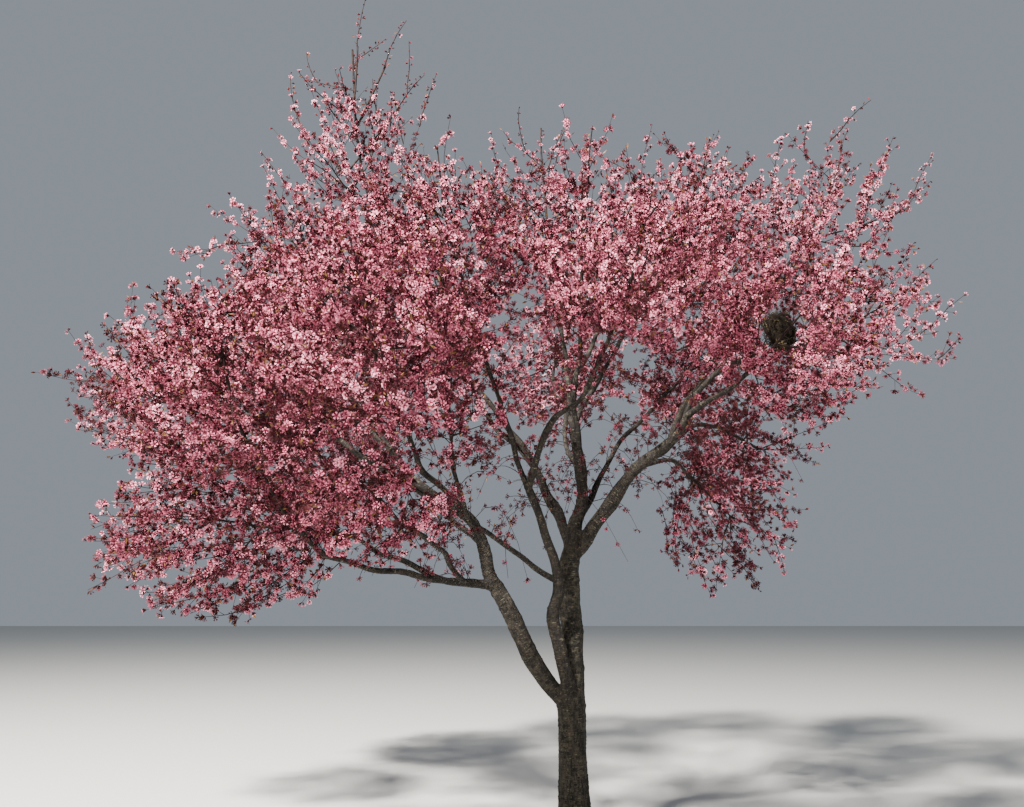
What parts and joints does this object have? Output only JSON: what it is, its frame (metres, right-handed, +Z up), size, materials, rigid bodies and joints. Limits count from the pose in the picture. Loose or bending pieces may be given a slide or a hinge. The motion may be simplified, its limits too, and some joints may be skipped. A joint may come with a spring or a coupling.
{
  "type": "flowering cherry tree",
  "caption": "Spreading cherry tree in full rose-pink blossom: a short trunk forks low into stems and boughs that carry masses of flowering twigs, with an old nest.",
  "frame": {"origin": "middle of the flat cut under the trunk, at ground level", "axes": "+Z up along the trunk, +X to the tree's right as seen from the front, -Y towards the front, which is the side that the picture shows"},
  "size_m": [6.6077, 5.7484, 6.3563],
  "materials": {
    "bark": "matt, rough",
    "blossom": "matt, soft",
    "nest": "matt, rough"
  },
  "bodies": {
    "root": {"trunk": "bark", "right_stem": "bark", "left_stem": "bark", "middle_stem": "bark", "low_left_bough": "bark", "hanging_left_bough": "bark", "low_front_bough": "bark", "far_left_bough": "bark", "upper_left_bough": "bark", "front_left_bough": "bark", "back_left_bough": "bark", "middle_right_bough": "bark", "middle_left_bough": "bark", "right_bough": "bark", "right_upright": "bark", "right_front_bough": "bark", "low_right_bough": "bark", "back_low_right_bough": "bark", "lit_bough": "bark", "back_upper_left_bough": "bark", "upper_diagonal_bough": "bark", "front_upright_bough": "bark", "back_right_bough": "bark", "back_centre_bough": "bark", "back_upper_right_bough": "bark", "crown_far_left": "blossom", "crown_upper_left": "blossom", "crown_left_shoulder": "blossom", "crown_left_front": "blossom", "crown_low_left": "blossom", "crown_front_left": "blossom", "crown_low_front": "blossom", "crown_back_left": "blossom", "crown_front_centre": "blossom", "crown_front_upper_left": "blossom", "crown_front_upper_right": "blossom", "crown_right_front": "blossom", "crown_top_left": "blossom", "crown_front_top": "blossom", "crown_top_centre": "blossom", "crown_upper_right": "blossom", "crown_top_right": "blossom", "crown_far_right": "blossom", "crown_low_right": "blossom", "crown_back_low_right": "blossom", "crown_back_right": "blossom", "crown_back_centre": "blossom", "crown_back_upper_left": "blossom", "crown_back_upper_right": "blossom", "old_nest": "nest"}
  },
  "joints": []
}
